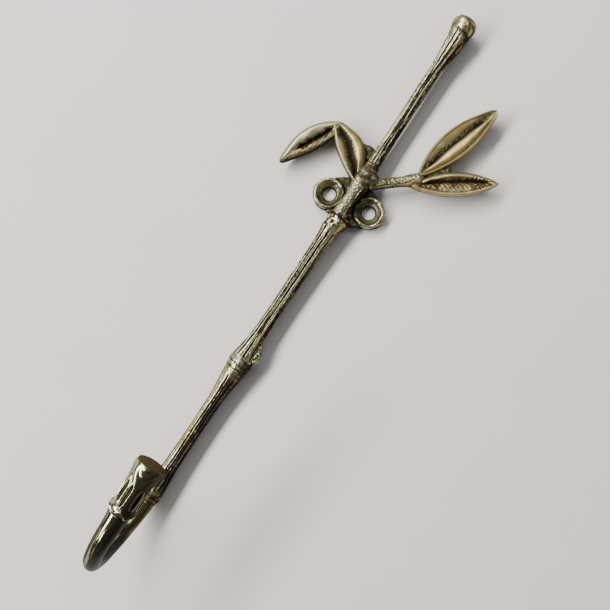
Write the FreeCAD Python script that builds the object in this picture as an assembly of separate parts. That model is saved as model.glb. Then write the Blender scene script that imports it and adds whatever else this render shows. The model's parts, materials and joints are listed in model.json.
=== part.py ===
"""Wall hook cast in brass in the shape of a bamboo cane: a long jointed stem that ends in a J hook,
with two screw lugs and two pairs of leaves on a boss near the top.

Frame, in millimetres: +Z up along the stem, -Y out of the wall towards the room, +X to the right of someone
facing the hook. The wall is the plane Y = 0, and the origin is midway between the two screw holes on it.
The casting is split where the cane's nodes and the sprigs' roots divide it, one solid for each named element.
Where two solids would share space, one is trimmed against the other, so they meet face to face.
"""
import FreeCAD
import Part
import math
import os
from FreeCAD import Vector

# ---- driving dimensions ----
STANDOFF = 4.2          # from the wall to the stem's centreline
STEM_TOP = 68.0         # the cut end of the cane
KNOB_R = 3.9
HOOK_DEPTH = 36.0       # from the stem's centreline to the arm's
BEND_Z = -110.2         # height of the centre of the hook's bend
BEND_THIN_R = 2.25      # the rod's radius at the bottom of the bend
BEND_THICK_R = 2.85     # and where the bend meets a node
TIP_Z = -91.2           # the arm's cut end
ARM_NODE_Z = -105.0
ARM_R = 3.65
SLOT_R = 0.45           # the engraved slots on the arm
SCREW_PCD = 14.08       # between the two screw holes
SCREW_TILT = 7.5        # degrees, the line of the holes against horizontal
SCREW_R = 2.1
SINK_R = 3.85           # the countersink's mouth
SINK_DEPTH = 1.8
LUG_R = 5.2
LUG_THICK = 3.2
LUG_EDGE_R = 0.8        # the rounding of a lug's front rim
WEB_THICK = 2.8
LEFT_WEB_THICK = 1.6
RIGHT_WEB_THICK = 1.6
LEAF_THICK = 3.0
LEAF_DISH = 1.5         # how deep a leaf's face falls to its midrib
LEAF_ROUNDNESS = 0.72   # 1 makes sharp leaf tips, and less makes them blunter
# The dish's rim and floor: where each starts and ends along the leaf, and its share of the leaf's width.
DISH_RIM = (0.10, 0.93, 0.72)
DISH_FLOOR = (0.18, 0.86, 0.14)
BIG = 400.0             # side of the blocks that trim a solid to a slab
DRILL_PAST = 5.0        # how far a drill starts behind the wall plane
CLEAR = 0.05            # how far a cutting shape stands past the face it cuts

BEND_R = HOOK_DEPTH / 2
ARM_Y = -STANDOFF - HOOK_DEPTH

# The stem's centreline leans a little between its nodes: (x, z) at the foot and the head of each run.
UPPER_RUN = ((-0.20, 14.0), (-1.25, STEM_TOP))
BOSS_RUN = ((0.0, 6.2), (-0.20, 14.0))
LUG_RUN = ((-0.30, -5.4), (-0.30, 6.2))
SHOULDER_RUN = ((0.35, -9.0), (0.35, -5.4))
MIDDLE_RUN = ((0.15, -59.9), (0.0, -9.0))
COLLAR_RUN = ((0.25, -63.6), (0.15, -59.9))
LOWER_RUN = ((0.60, -113.0), (0.20, -63.6))
ARM_RUN = ((0.15, ARM_NODE_Z), (0.0, TIP_Z))

# The radius of each stretch of cane at heights along it, from the bottom up.
KNOB_LEVELS = [(60.4, 2.65), (61.0, 2.75), (63.2, 3.3), (64.8, 3.7), (66.2, KNOB_R), (67.1, 3.7), (67.7, 3.1),
               (STEM_TOP, 2.2)]
UPPER_LEVELS = [(14.0, 2.1), (24.0, 1.95), (36.0, 1.95), (46.0, 2.05), (55.0, 2.25), (61.0, 2.75)]
BOSS_LEVELS = [(6.2, 2.6), (8.5, 3.1), (11.0, 2.7), (14.0, 2.1)]
LUG_STEM_LEVELS = [(-5.4, 2.4), (-2.5, 2.15), (1.0, 2.05), (4.0, 2.25), (6.2, 2.6)]
SHOULDER_LEVELS = [(-9.0, 3.1), (-7.2, 3.35), (-6.0, 3.3), (-5.4, 3.0)]
MIDDLE_LEVELS = [(-59.9, 3.65), (-57.0, 3.2), (-53.0, 2.65), (-47.0, 2.3), (-36.0, 2.25),
                 (-24.0, 2.4), (-14.0, 2.65), (-9.0, 3.1)]
BUD_LEVELS = [(0.0, 0.35), (1.2, 1.35), (3.4, 1.5), (6.0, 1.0), (8.6, 0.3)]
COLLAR_LEVELS = [(-63.6, 3.45), (-63.0, 3.7), (-62.3, 3.5), (-61.6, 3.8), (-60.6, 3.8), (-59.9, 3.65)]
LOWER_LEVELS = [(-109.4, 3.05), (-104.0, 2.7), (-98.0, 2.4), (-88.0, 2.2), (-78.0, 2.3), (-70.0, 2.75),
                (-63.6, 3.45)]
LOWER_NODE_LEVELS = [(-113.0, 2.85), (-111.6, 3.25), (-110.6, 3.3), (-109.4, 3.05)]
TWIG_LEVELS = [(-0.6, 2.0), (4.0, 1.9), (8.0, 1.95), (11.8, 2.1)]


def at(x, z, y=-STANDOFF):
    return Vector(x, y, z)


def solid_of(shape):
    """The largest solid of a shape, cleaned of seams."""
    best = max(shape.Solids, key=lambda s: s.Volume)
    return best.removeSplitter()


def trim(shape, *others):
    """shape without the space that the other solids fill."""
    for other in others:
        shape = shape.cut(other)
    return solid_of(shape)


def slab(shape, low, high):
    """The part of a shape between two heights."""
    block = Part.makeBox(BIG, BIG, high - low, Vector(-BIG / 2, -BIG / 2, low))
    return solid_of(shape.common(block))


def turned(foot, head, profile):
    """A cane turned about the line from foot to head. profile holds (height up the line, radius)."""
    outline = Part.BSplineCurve()
    outline.interpolate([Vector(r, 0, h) for h, r in profile])
    low, high = profile[0], profile[-1]
    corners = [Vector(high[1], 0, high[0]), Vector(0, 0, high[0])]
    corners += [Vector(0, 0, low[0]), Vector(low[1], 0, low[0])]
    edges = [outline.toShape()]
    edges += [Part.LineSegment(a, b).toShape() for a, b in zip(corners, corners[1:])]
    shape = Part.Face(Part.Wire(edges)).revolve(Vector(0, 0, 0), Vector(0, 0, 1), 360)
    turn = FreeCAD.Rotation(Vector(0, 0, 1), head - foot)
    shape.Placement = FreeCAD.Placement(foot, turn)
    return shape


def run(ends, y=-STANDOFF):
    (x0, z0), (x1, z1) = ends
    return at(x0, z0, y), at(x1, z1, y)


def cane(ends, levels, y=-STANDOFF):
    """A stretch of cane on one run, its ends cut level. levels holds (z, radius) from the bottom up."""
    foot, head = run(ends, y)
    spare = 0.6
    (low, low_r), (high, high_r) = levels[0], levels[-1]
    ladder = [(low - spare, low_r), *levels, (high + spare, high_r)]
    return slab(turned(foot, head, [(z - foot.z, r) for z, r in ladder]), low, high)


# ---- the stem ----
def stem_top_knob():
    """The flared, rounded end of the cane."""
    foot, head = run(UPPER_RUN)
    shape = turned(foot, head, [(z - foot.z, r) for z, r in KNOB_LEVELS])
    return slab(shape, UPPER_LEVELS[-1][0], STEM_TOP + 1)


def upper_stem():
    return cane(UPPER_RUN, UPPER_LEVELS)


def twig_boss():
    """The swollen joint that both sprigs grow from."""
    root_r = 2.5
    root = Part.makeSphere(root_r, at(2.3, 9.3))
    return solid_of(cane(BOSS_RUN, BOSS_LEVELS).fuse(root))


def lug_stem():
    """The short length of cane between the two lugs."""
    return cane(LUG_RUN, LUG_STEM_LEVELS)


def upper_node():
    """The node under the lugs, with the shoulder that the middle stem grows from."""
    return cane(SHOULDER_RUN, SHOULDER_LEVELS)


def middle_stem():
    return cane(MIDDLE_RUN, MIDDLE_LEVELS)


def bud_scar():
    """The small pointed bud on the right of the middle stem, just above its lower node."""
    return turned(at(3.75, -60.2), at(2.15, -50.6), BUD_LEVELS)


def bud_node():
    """Two rings round the cane with a groove between them."""
    return cane(COLLAR_RUN, COLLAR_LEVELS)


def lower_stem():
    return cane(LOWER_RUN, LOWER_LEVELS)


def lower_node():
    return cane(LOWER_RUN, LOWER_NODE_LEVELS)


# ---- the hook ----
def hook_bend():
    """The U of the hook, thinnest at its bottom. It starts under the lower node and ends under the arm's."""
    bend_top = LOWER_NODE_LEVELS[0][0]
    start = math.asin((BEND_Z - bend_top) / BEND_R)
    stations = 12
    back_x, arm_x = LOWER_RUN[0][0], 0.3
    sections = []
    for i in range(stations + 1):
        share = i / stations
        angle = start + (math.pi - start) * share
        x = back_x + (arm_x - back_x) * share
        centre = at(x, BEND_Z - BEND_R * math.sin(angle), -STANDOFF - BEND_R * (1 - math.cos(angle)))
        tangent = Vector(0, -math.sin(angle), -math.cos(angle))
        radius = BEND_THIN_R + (BEND_THICK_R - BEND_THIN_R) * (2 * share - 1) ** 2
        sections.append(Part.Wire(Part.Circle(centre, tangent, radius).toShape()))
    neck_z, neck_r = arm_node_levels()[0]
    neck = Part.Circle(at(ARM_RUN[0][0], neck_z, ARM_Y), Vector(0, 0, 1), neck_r)
    sections.append(Part.Wire(neck.toShape()))
    return Part.makeLoft(sections, True)


def arm_node_levels():
    z = ARM_NODE_Z
    return [(z - 2.2, 3.0), (z - 0.9, 3.5), (z, 3.85), (z + 0.8, 3.8), (z + 1.4, ARM_R)]


def tip_levels():
    z = TIP_Z
    return [(z - 5.0, ARM_R), (z - 3.4, 3.9), (z - 1.6, 4.1), (z - 0.5, 4.15), (z, 4.0)]


def hook_node():
    """The rough ring where the bend meets the thicker end of the arm."""
    return cane(ARM_RUN, arm_node_levels(), ARM_Y)


def hook_arm():
    """The thick last length of cane, engraved with slots on its front and back."""
    low, high = arm_node_levels()[-1][0], tip_levels()[0][0]
    shape = cane(ARM_RUN, [(low, ARM_R), (high, ARM_R)], ARM_Y)
    end_gap = 0.7
    slot_length = high - low - 2 * end_gap
    for degrees in (-30, -4, 22, 150, 176, 202):
        a = math.radians(degrees)
        foot = at(ARM_RUN[0][0] + ARM_R * math.sin(a), low + end_gap, ARM_Y - ARM_R * math.cos(a))
        shape = shape.cut(Part.makeCylinder(SLOT_R, slot_length, foot, Vector(0, 0, 1)))
    return solid_of(shape)


def hook_tip():
    """The flared end with its flat cut face."""
    return cane(ARM_RUN, tip_levels(), ARM_Y)


# ---- the lugs ----
def hole_centre(side):
    a = math.radians(SCREW_TILT)
    half = SCREW_PCD / 2
    return Vector(side * half * math.cos(a), 0, side * half * math.sin(a))


OUT = Vector(0, -1, 0)


def drill(side, radius):
    """A long cylinder through the wall plane on a screw hole's axis."""
    return Part.makeCylinder(radius, BIG / 4, hole_centre(side) - OUT * DRILL_PAST, OUT)


def bored(shape, side):
    """shape with a countersunk screw hole."""
    c = hole_centre(side)
    sink = Part.makeCone(SCREW_R, SINK_R, SINK_DEPTH, c + OUT * (LUG_THICK - SINK_DEPTH), OUT)
    return shape.cut(drill(side, SCREW_R)).cut(sink)


def screw_lug(side):
    c = hole_centre(side)
    disc = Part.makeCylinder(LUG_R, LUG_THICK, c, OUT)
    front = [e for e in disc.Edges if e.BoundBox.YMax < 0.01 - LUG_THICK]
    return bored(disc.makeFillet(LUG_EDGE_R, front), side)


def plate(points, thick, back=0.0):
    """A flat plate from (x, z) corners, with its back that far out from the wall."""
    corners = [Vector(x, -back, z) for x, z in points]
    return Part.Face(Part.makePolygon(corners + corners[:1])).extrude(OUT * thick)


def lug_web():
    """The flat plate behind the stem that joins the lugs. Its back is the face that rests on the wall."""
    outline = [(-6.5, -5.8), (2.5, -7.4), (7.5, -4.0), (7.5, 5.9), (4.0, 7.4), (-3.0, 8.0), (-8.2, 4.6)]
    shape = plate(outline, WEB_THICK)
    for side in (-1, 1):
        shape = shape.cut(drill(side, LUG_R))
    return solid_of(shape)


# ---- the leaves ----
def leaf_point(leaf, t, side, spread=1.0):
    """A point of a leaf's outline, t from base to tip. side is -1, 0 for the midrib, or 1."""
    (bx, bz), (tx, tz) = leaf["base"], leaf["tip"]
    along = Vector(tx - bx, 0, tz - bz)
    across = Vector(-along.z, 0, along.x).normalize()
    half = leaf["width"] / 2 * math.sin(math.pi * t ** leaf["fullness"]) ** LEAF_ROUNDNESS
    middle = Vector(bx, 0, bz) + along * t + across * (leaf["bow"] * math.sin(math.pi * t))
    return middle + across * (side * half * spread)


def leaf_wire(leaf, y, first, last, spread):
    """A closed outline at depth y, made of one curve up each side of the midrib."""
    count = 6
    steps = [first + (last - first) * i / count for i in range(count + 1)]
    edges = []
    for side, order in ((1, steps), (-1, steps[::-1])):
        points = [leaf_point(leaf, t, 0 if t in (steps[0], steps[-1]) else side, spread) for t in order]
        curve = Part.BSplineCurve()
        curve.interpolate([p + Vector(0, y, 0) for p in points])
        edges.append(curve.toShape())
    return Part.Wire(edges)


def leaf(shape):
    """A thick leaf with a dished face that falls to a groove along the midrib."""
    back = -shape["back"]
    front = back - LEAF_THICK
    blade = Part.Face(leaf_wire(shape, back, 0.0, 1.0, 1.0)).extrude(OUT * LEAF_THICK)
    mouth = leaf_wire(shape, front - CLEAR, *DISH_RIM)
    floor = leaf_wire(shape, front + LEAF_DISH, *DISH_FLOOR)
    return solid_of(blade.cut(Part.makeLoft([mouth, floor], True, True)))


# base and tip are (x, z), and bow moves the midrib sideways. A fullness under 1 puts the widest place
# nearer the base. back is how far the leaf's back stands off the wall.
LEAVES = {
    "left_inner_leaf": {"base": (-0.9, 5.4), "tip": (-17.6, 18.5),
                        "width": 8.8, "bow": -1.9, "fullness": 1.2, "back": 3.0},
    "left_outer_leaf": {"base": (-16.6, 19.0), "tip": (-25.6, -1.3),
                        "width": 7.5, "bow": -0.9, "fullness": 0.9, "back": 2.8},
    "right_large_leaf": {"base": (13.1, 17.5), "tip": (22.5, 49.1),
                         "width": 9.2, "bow": 0.35, "fullness": 1.04, "back": 3.0},
    "right_small_leaf": {"base": (13.2, 14.8), "tip": (35.6, 30.5),
                         "width": 7.9, "bow": 0.1, "fullness": 1.0, "back": 3.0},
}


def right_twig():
    """The short twig that carries the right pair of leaves."""
    return turned(at(4.2, 9.6), at(13.9, 17.9), TWIG_LEVELS)


def left_web():
    """The thin web of metal behind the left leaf, which ties it to the stem."""
    outline = [(-0.2, 14.3), (-0.2, 18.4), (-4.4, 19.0), (-10.0, 17.4),
               (-6.0, 10.0), (-3.6, 9.0), (-3.2, 14.3)]
    return plate(outline, LEFT_WEB_THICK, LEAVES["left_inner_leaf"]["back"] - LEFT_WEB_THICK)


def right_web():
    """The thin web in the fork of the right pair of leaves."""
    outline = [(13.0, 16.0), (19.6, 26.6), (22.6, 24.6), (15.5, 16.5)]
    return plate(outline, RIGHT_WEB_THICK, LEAVES["right_large_leaf"]["back"])


def build():
    """Every named solid. Those that meet a neighbour's side are trimmed against it."""
    made = {
        "stem_top_knob": stem_top_knob(),
        "upper_stem": upper_stem(),
        "lug_stem": lug_stem(),
        "upper_node": upper_node(),
        "middle_stem": middle_stem(),
        "bud_node": bud_node(),
        "lower_stem": lower_stem(),
        "lower_node": lower_node(),
        "hook_bend": hook_bend(),
        "hook_node": hook_node(),
        "hook_arm": hook_arm(),
        "hook_tip": hook_tip(),
    }
    made["twig_boss"] = trim(twig_boss(), made["upper_stem"], made["lug_stem"])
    made["bud_scar"] = trim(bud_scar(), made["middle_stem"], made["bud_node"])
    stems = [made[n] for n in ("lug_stem", "upper_node", "middle_stem", "twig_boss", "upper_stem")]
    made["left_screw_lug"] = trim(screw_lug(-1), *stems)
    made["right_screw_lug"] = trim(screw_lug(1), *stems)
    made["lug_web"] = trim(lug_web(), *stems)
    lugs = [made[n] for n in ("left_screw_lug", "right_screw_lug", "lug_web")]
    made["right_twig"] = trim(right_twig(), *stems, *lugs)
    for name, shape in LEAVES.items():
        earlier = [made[n] for n in LEAVES if n in made]
        made[name] = trim(leaf(shape), *stems, *lugs, made["right_twig"], *earlier)
    leaves = [made[n] for n in LEAVES]
    made["left_web"] = trim(left_web(), made["upper_stem"])
    made["right_web"] = trim(right_web(), made["right_twig"], *leaves)
    return made


def main():
    os.makedirs("parts", exist_ok=True)
    for name, shape in build().items():
        shape.exportStep(f"parts/{name}.step")
        box = shape.BoundBox
        size = f"x {box.XMin:6.1f} {box.XMax:6.1f}  y {box.YMin:6.1f} {box.YMax:6.1f}"
        print(f"{name:18s} {len(shape.Solids)} solid, valid {shape.isValid()}, {shape.Volume:8.1f} mm3, "
              f"{size}  z {box.ZMin:7.1f} {box.ZMax:7.1f}")


main()
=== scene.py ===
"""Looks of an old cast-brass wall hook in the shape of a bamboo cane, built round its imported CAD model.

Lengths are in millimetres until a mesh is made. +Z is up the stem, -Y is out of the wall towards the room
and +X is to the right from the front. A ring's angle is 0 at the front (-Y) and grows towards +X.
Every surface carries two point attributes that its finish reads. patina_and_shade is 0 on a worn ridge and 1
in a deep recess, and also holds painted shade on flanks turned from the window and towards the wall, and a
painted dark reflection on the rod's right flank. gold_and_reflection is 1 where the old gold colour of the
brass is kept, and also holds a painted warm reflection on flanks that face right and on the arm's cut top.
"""

import json
import math

import bmesh
import bpy
import numpy as np
from mathutils import Matrix, Vector
from mathutils.bvhtree import BVHTree


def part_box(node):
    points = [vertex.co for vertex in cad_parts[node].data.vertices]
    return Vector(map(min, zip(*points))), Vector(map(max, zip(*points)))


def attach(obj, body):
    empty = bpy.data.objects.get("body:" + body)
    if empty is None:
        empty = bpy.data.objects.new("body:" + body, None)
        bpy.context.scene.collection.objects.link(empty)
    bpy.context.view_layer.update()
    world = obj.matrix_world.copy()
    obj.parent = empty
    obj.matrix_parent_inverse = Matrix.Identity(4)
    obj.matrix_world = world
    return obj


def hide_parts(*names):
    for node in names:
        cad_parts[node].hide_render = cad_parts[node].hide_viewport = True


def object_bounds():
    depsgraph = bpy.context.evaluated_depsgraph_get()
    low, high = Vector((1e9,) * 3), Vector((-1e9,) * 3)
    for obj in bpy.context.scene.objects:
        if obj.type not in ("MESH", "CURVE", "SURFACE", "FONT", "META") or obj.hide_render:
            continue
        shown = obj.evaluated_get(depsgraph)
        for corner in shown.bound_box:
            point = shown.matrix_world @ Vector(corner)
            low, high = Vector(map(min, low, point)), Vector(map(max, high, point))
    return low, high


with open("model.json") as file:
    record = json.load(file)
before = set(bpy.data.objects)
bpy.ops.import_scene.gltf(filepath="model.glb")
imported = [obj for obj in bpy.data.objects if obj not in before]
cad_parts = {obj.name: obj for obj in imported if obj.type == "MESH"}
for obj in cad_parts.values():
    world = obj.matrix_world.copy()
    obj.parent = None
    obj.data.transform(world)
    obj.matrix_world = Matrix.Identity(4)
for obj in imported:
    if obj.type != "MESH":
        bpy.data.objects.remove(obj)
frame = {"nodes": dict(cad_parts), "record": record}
cad_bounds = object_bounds()

MM = 0.001
FRONT = np.array([0.0, -1.0, 0.0])
RIGHT = np.array([1.0, 0.0, 0.0])
UP = np.array([0.0, 0.0, 1.0])


# ---- the frame, in millimetres ----
def span(node):
    """The lowest and highest corners of a CAD node."""
    low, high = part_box(node)
    return np.array(low) / MM, np.array(high) / MM


def middle(node):
    """The centre of a CAD node's box."""
    low, high = span(node)
    return (low + high) / 2


def mesh_of(*nodes):
    """Points, in millimetres, and faces of these CAD nodes together."""
    verts, faces = [], []
    for node in nodes:
        mesh = frame["nodes"][node].data
        base = len(verts)
        verts += [v.co / MM for v in mesh.vertices]
        faces += [[base + i for i in p.vertices] for p in mesh.polygons]
    return verts, faces


def ring_at(tree, guess, out, side, rays=24, rounds=3):
    """Centre and radius of the round section about a guessed point, in the plane of out and side."""
    centre = np.array(guess, float)
    for _ in range(rounds):
        hits = []
        for a in np.linspace(0, 2 * math.pi, rays, endpoint=False):
            way = math.cos(a) * out + math.sin(a) * side
            hit = tree.ray_cast(Vector(centre), Vector(way))[0]
            if hit is not None:
                hits.append(np.array(hit))
        hits = np.array(hits)
        centre = hits.mean(0)
    return centre, float(np.median(np.linalg.norm(hits - centre, axis=1)))


class Stretch:
    """The centre line and radius of an upright stretch of cane, read from its CAD nodes."""

    def __init__(self, nodes, step=0.5):
        tree = BVHTree.FromPolygons(*mesh_of(*nodes))
        spans = [span(n) for n in nodes]
        self.low = min(s[0][2] for s in spans)
        self.high = max(s[1][2] for s in spans)
        inset = 0.05
        self.z = np.arange(self.low + inset, self.high - inset, step)
        rings = []
        guess = middle(nodes[0])
        for z in self.z:
            guess = np.array([guess[0], guess[1], z])
            centre, radius = ring_at(tree, guess, FRONT, RIGHT)
            rings.append((*centre[:2], radius))
            guess = centre
        self.x, self.y, self.r = np.array(rings).T

    def at(self, z):
        """The centre's x and y, and the radius, at these heights."""
        return np.interp(z, self.z, self.x), np.interp(z, self.z, self.y), np.interp(z, self.z, self.r)


# ---- noise ----
class Waves:
    """Smooth noise that repeats exactly: waves of about one size in every direction, spread near 1."""

    def __init__(self, seed, size, count=36):
        rng = np.random.default_rng(seed)
        way = rng.normal(size=(count, 3))
        way /= np.linalg.norm(way, axis=1, keepdims=True)
        self.k = way * rng.uniform(0.7, 1.5, (count, 1)) * 2 * math.pi / size
        self.phase = rng.uniform(0, 2 * math.pi, count)

    def __call__(self, points):
        total = np.zeros(points.shape[:-1])
        for k, phase in zip(self.k, self.phase):
            total += np.sin(points @ k + phase)
        return total * math.sqrt(2 / len(self.k))


def smooth(x, low, high):
    """0 below low, 1 above high, and a soft step between. low may be above high."""
    t = np.clip((x - low) / (high - low), 0, 1)
    return t * t * (3 - 2 * t)


def bell(x, centre, width):
    """1 at the centre, falling away softly on both sides over about the width."""
    return np.exp(-(((x - centre) / width) ** 2))


# ---- meshes ----
def add_piece(name, verts, faces, patina_and_shade, gold_and_reflection, finish, replaced):
    """A mesh piece with the two attributes its finish reads, on the body in place of its CAD nodes."""
    mesh = bpy.data.meshes.new(name)
    mesh.from_pydata((np.asarray(verts) * MM).tolist(), [], faces)
    for key, values in (("patina_and_shade", patina_and_shade), ("gold_and_reflection", gold_and_reflection)):
        layer = mesh.attributes.new(key, "FLOAT", "POINT")
        layer.data.foreach_set("value", np.clip(values, 0, 1).astype(np.float32).ravel())
    sides = bmesh.new()
    sides.from_mesh(mesh)
    bmesh.ops.recalc_face_normals(sides, faces=sides.faces)
    sides.to_mesh(mesh)
    sides.free()
    mesh.shade_smooth()
    mesh.materials.append(finish)
    piece = bpy.data.objects.new(name, mesh)
    bpy.context.scene.collection.objects.link(piece)
    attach(piece, "root")
    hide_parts(*replaced)
    return piece


def loop_faces(rings, points, joined=False):
    """Quads between neighbouring closed loops of points, and between the last and the first if joined."""
    faces = []
    for i in range(rings if joined else rings - 1):
        a, b = i * points, (i + 1) % rings * points
        for j in range(points):
            k = (j + 1) % points
            faces.append((a + j, a + k, b + k, b + j))
    return faces


def closed_sweep(loops):
    """Vertices and faces of a skin over loops (n, m, 3), its two ends closed by fans."""
    rings, points = loops.shape[:2]
    verts = np.concatenate([loops.reshape(-1, 3), loops[:1].mean(1), loops[-1:].mean(1)])
    faces = loop_faces(rings, points)
    first, last = rings * points, rings * points + 1
    for j in range(points):
        k = (j + 1) % points
        faces.append((first, k, j))
        faces.append((last, (rings - 1) * points + j, (rings - 1) * points + k))
    return verts, faces


def with_ends(values):
    """Per-point values of a sweep's loops, with the two fan centres added."""
    return np.concatenate([values.ravel(), [values[0].mean(), values[-1].mean()]])


def ring_loops(centres, outs, sides, radii):
    """Closed loops of points about these centres. Each starts at its out and turns towards its side."""
    angle = np.linspace(0, 2 * math.pi, radii.shape[1], endpoint=False)
    way = np.cos(angle)[None, :, None] * outs[:, None, :] + np.sin(angle)[None, :, None] * sides[:, None, :]
    return centres[:, None, :] + radii[:, :, None] * way


# ---- relief shared by the canes ----
def wrapped(angle):
    """The same angle, from minus half a turn to half a turn."""
    return (angle + math.pi) % (2 * math.pi) - math.pi


def groove(angle, z, radius, degrees, top, bottom, depth, width, seed, fade=3):
    """One wandering lengthwise groove that fades in at both ends, in millimetres of depth at each point."""
    line = np.stack([z, np.zeros_like(z), np.zeros_like(z)], -1)
    wander = 0.10 * Waves(seed, 26.0, 8)(line) + 0.035 * Waves(seed + 1, 5.0, 8)(line)
    across = wrapped(angle - math.radians(degrees)) * radius - wander
    ragged = 1 + 0.14 * Waves(seed + 2, 1.4, 8)(line) + 0.12 * Waves(seed + 3, 7.0, 8)(line)
    taper = smooth(z, bottom, bottom + fade) * smooth(z, top, top - fade)
    return depth * taper * np.exp(-np.abs(across / (width * np.clip(ragged, 0.35, 1.7))) ** 3)


def streaks(angle, z, radius, seed, size, stretch):
    """Noise that runs lengthwise along a cane."""
    points = np.stack([radius * np.cos(angle), radius * np.sin(angle), z / stretch], -1)
    return Waves(seed, size)(points)


def cane_relief(angle, z, radius, grooves, seed, streak=0.03, line=0.08, grain=0.025):
    """Height added to a cane's smooth radius: its grooves, lengthwise streaks, thin dark lines and grain."""
    relief = -sum(groove(angle, z, radius, *g, seed=seed + 10 * i) for i, g in enumerate(grooves, 1))
    relief = relief + streak * streaks(angle, z, radius, seed, 2.4, 9.0)
    fine = streaks(angle, z, radius, seed + 1, 2.0, 24.0)
    patchy = smooth(streaks(angle, z, radius, seed + 2, 5.0, 4.0), -0.9, 0.5)
    relief = relief - line * patchy * np.exp(-((fine / 0.22) ** 2))
    return relief + grain * streaks(angle, z, radius, seed + 3, 0.7, 1.4)


def cane_patina_and_shade(relief, angle, level=0.02, depth=0.2):
    """How recessed each point is, from its relief, which is patina, and painted shade round the flanks and
    towards the wall.

    The front is kept clear of the painted shade in a band a little to the left of centre, towards the
    window.
    """
    clean_band_shift = 0.26
    # painted shade: darker round both flanks and towards the wall, clear a little left of the front
    flank_shade = smooth(np.cos(angle + clean_band_shift), 0.62, 0.05)
    wall_facing_shade = smooth(np.cos(angle), 0.0, -0.5)
    return np.clip((level - relief) / depth, 0, 1) * 0.9 + 0.42 * flank_shade + 0.16 * wall_facing_shade


TUCK_LENGTH = 0.7       # the stretch of a cane's end over which it is drawn in


def cane_piece(name, stretch, low, high, relief_of, finish, replaced, around=128, step=0.25,
               tuck_low=0.0, tuck_high=0.0, crown=None):
    """A cane piece between two heights. relief_of gives (relief, patina_and_shade, gold_and_reflection) at
    each point.

    tuck draws an end in, so that it hides inside the piece it meets. crown adds visible rings that close
    the top: each is a share of the last ring's radius, and a height above it.
    """
    z = np.linspace(low, high, int((high - low) / step) + 2)
    angle = np.linspace(0, 2 * math.pi, around, endpoint=False)
    grid_angle, grid_z = np.meshgrid(angle, z)
    x, y, radius = stretch.at(z)
    base = np.repeat(radius[:, None], around, 1)
    relief, patina_and_shade, gold_and_reflection = relief_of(grid_angle, grid_z, base)
    tuck = tuck_low * smooth(grid_z, low + TUCK_LENGTH, low)
    tuck = tuck + tuck_high * smooth(grid_z, high - TUCK_LENGTH, high)
    radii = base + relief - tuck
    centres = np.stack([x, y, z], -1)
    if crown is not None:
        rim = radii[-1:]
        for share, rise in crown:
            even = rim.mean() + (rim - rim.mean()) * share ** 3
            radii = np.concatenate([radii, even * share])
            centres = np.concatenate([centres, [[x[-1], y[-1], z[-1] + rise]]])
        shares = np.array([share for share, _ in crown])[:, None]
        patina_and_shade = np.concatenate([patina_and_shade, patina_and_shade[-1].mean() + (patina_and_shade[-1:] - patina_and_shade[-1].mean()) * shares])
        gold_and_reflection = np.concatenate([gold_and_reflection, gold_and_reflection[-1].mean() + (gold_and_reflection[-1:] - gold_and_reflection[-1].mean()) * shares])
    count = len(centres)
    loops = ring_loops(centres, np.repeat(FRONT[None], count, 0), np.repeat(RIGHT[None], count, 0), radii)
    verts, faces = closed_sweep(loops)
    return add_piece(name, verts, faces, with_ends(patina_and_shade), with_ends(gold_and_reflection), finish, replaced)


# ---- finishes ----
class Graph:
    """A material's node graph, with short calls to add nodes and join them."""

    def __init__(self, name):
        self.material = bpy.data.materials.new(name)
        self.material.use_nodes = True
        self.nodes = self.material.node_tree.nodes
        self.shader = self.nodes["Principled BSDF"]
        self.output = self.nodes["Material Output"]
        self.place = self.add("ShaderNodeTexCoord").outputs["Object"]

    def add(self, kind, **settings):
        node = self.nodes.new(kind)
        for key, value in settings.items():
            setattr(node, key, value)
        return node

    def join(self, source, target):
        self.material.node_tree.links.new(source, target)

    def attribute(self, name):
        return self.add("ShaderNodeAttribute", attribute_name=name).outputs["Fac"]

    def noise(self, size_mm, detail=4.0, rough=0.6):
        node = self.add("ShaderNodeTexNoise")
        node.inputs["Scale"].default_value = 1 / (size_mm * MM)
        node.inputs["Detail"].default_value = detail
        node.inputs["Roughness"].default_value = rough
        self.join(self.place, node.inputs["Vector"])
        return node.outputs["Fac"]

    def math(self, operation, a, b):
        node = self.add("ShaderNodeMath", operation=operation)
        for socket, value in zip(node.inputs, (a, b)):
            if isinstance(value, (int, float)):
                socket.default_value = value
            else:
                self.join(value, socket)
        return node.outputs[0]

    def around_zero(self, value, strength):
        """A value from 0 to 1, moved to lie evenly about zero and scaled."""
        return self.math("MULTIPLY", self.math("SUBTRACT", value, 0.5), strength)

    def ranged(self, value, low, high, to_low=0.0, to_high=1.0):
        node = self.add("ShaderNodeMapRange", interpolation_type="SMOOTHSTEP")
        for key, number in (("From Min", low), ("From Max", high), ("To Min", to_low), ("To Max", to_high)):
            node.inputs[key].default_value = number
        self.join(value, node.inputs["Value"])
        return node.outputs["Result"]

    def mixed(self, share, a, b):
        node = self.add("ShaderNodeMix", data_type="RGBA")
        self.join(share, node.inputs[0])
        for socket, value in ((node.inputs[6], a), (node.inputs[7], b)):
            if isinstance(value, tuple):
                socket.default_value = (*value, 1)
            else:
                self.join(value, socket)
        return node.outputs[2]

    def bump(self, height, distance_mm, strength):
        node = self.add("ShaderNodeBump")
        node.inputs["Strength"].default_value = strength
        node.inputs["Distance"].default_value = distance_mm * MM
        self.join(height, node.inputs["Height"])
        self.join(node.outputs["Normal"], self.shader.inputs["Normal"])


BRIGHT = (0.38, 0.37, 0.235)
GOLD = (0.39, 0.305, 0.125)
OLIVE = (0.10, 0.090, 0.046)
BROWN = (0.115, 0.080, 0.034)
SOOT_AND_SHADE = (0.017, 0.013, 0.008)
EDGE_TINT = (0.37, 0.36, 0.38)


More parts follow.
